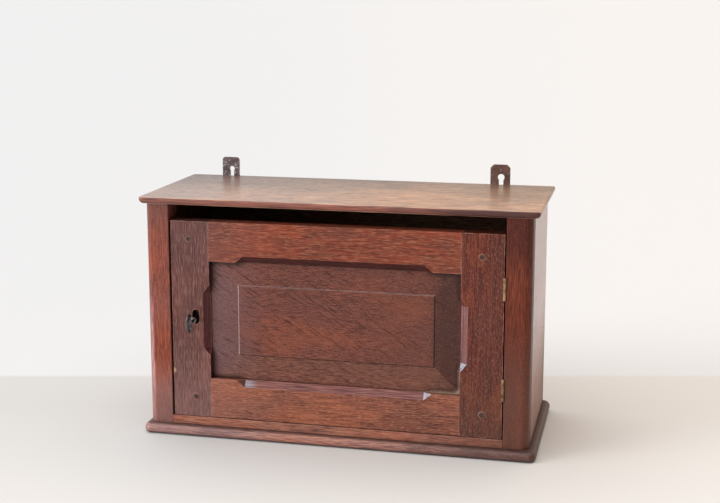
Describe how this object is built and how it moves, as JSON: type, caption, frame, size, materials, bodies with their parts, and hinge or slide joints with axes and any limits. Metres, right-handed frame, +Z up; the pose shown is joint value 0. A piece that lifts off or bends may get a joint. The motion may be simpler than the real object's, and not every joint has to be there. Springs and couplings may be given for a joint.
{
  "type": "wall cabinet",
  "caption": "Small stained oak wall cabinet with a pegged, panelled inset door under an open slot, a cupboard lock with key, nosed top and plinth, and hanging plates at the back.",
  "frame": {"origin": "on the plinth board's underside, where the cabinet stands, under the middle of the case", "axes": "+X to the viewer's right when facing the door, +Y to the wall, +Z up"},
  "size_m": [0.5178, 0.237, 0.343],
  "materials": {
    "oak_case": "worn satin varnish",
    "oak_top": "polished",
    "oak_plinth": "worn satin varnish",
    "oak_door": "worn satin varnish",
    "oak_rail": "worn satin varnish",
    "oak_panel": "worn satin varnish",
    "back_wood": "bare aged wood",
    "iron": "dark pitted iron",
    "key_steel": "worn bright steel",
    "brass": "dull aged brass"
  },
  "bodies": {
    "case": {"top_board": "oak_top", "plinth_board": "oak_plinth", "bottom_board": "oak_case", "left_post": "oak_case", "right_post": "oak_case", "left_side_panel": "oak_case", "right_side_panel": "oak_case", "back_board_1": "back_wood", "back_board_2": "back_wood", "back_board_3": "back_wood", "door_stop": "back_wood", "top_dowels": "back_wood", "plinth_screws": "iron", "back_nails": "iron", "left_hanger": "iron", "right_hanger": "iron", "hanger_screws": "iron", "upper_hinge_post_leaf": "brass", "upper_hinge_pin": "iron", "lower_hinge_post_leaf": "brass", "lower_hinge_pin": "iron", "hinge_post_screws": "brass"},
    "door": {"lock_stile": "oak_door", "hinge_stile": "oak_door", "top_rail": "oak_rail", "bottom_rail": "oak_rail", "door_panel": "oak_panel", "tenon_pegs": "oak_door", "upper_hinge_door_leaf": "brass", "lower_hinge_door_leaf": "brass", "hinge_door_screws": "brass", "lock_plate": "iron", "lock_cap": "iron", "lock_cap_rivets": "iron", "lock_screws": "iron"},
    "bolt": {"lock_bolt": "iron", "lock_spring": "iron"},
    "key": {"key": "key_steel"}
  },
  "joints": [
    {"name": "door_swing", "type": "hinge", "parent": "case", "child": "door", "pos_m": [0.2171, -0.1015, 0.1554], "axis": [0, 0, 1], "range_deg": [0, 165]},
    {"name": "key_turn", "type": "hinge", "parent": "door", "child": "key", "pos_m": [-0.1838, -0.1005, 0.157], "axis": [0, -1, 0], "range_deg": [0, 360]},
    {"name": "bolt_throw", "type": "slide", "parent": "door", "child": "bolt", "axis": [-1, 0, 0], "range_m": [0, 0.007]}
  ],
  "couplings": [
    {"joint": "bolt_throw", "follows": "key_turn", "m_per_rad": 0.0011141}
  ]
}
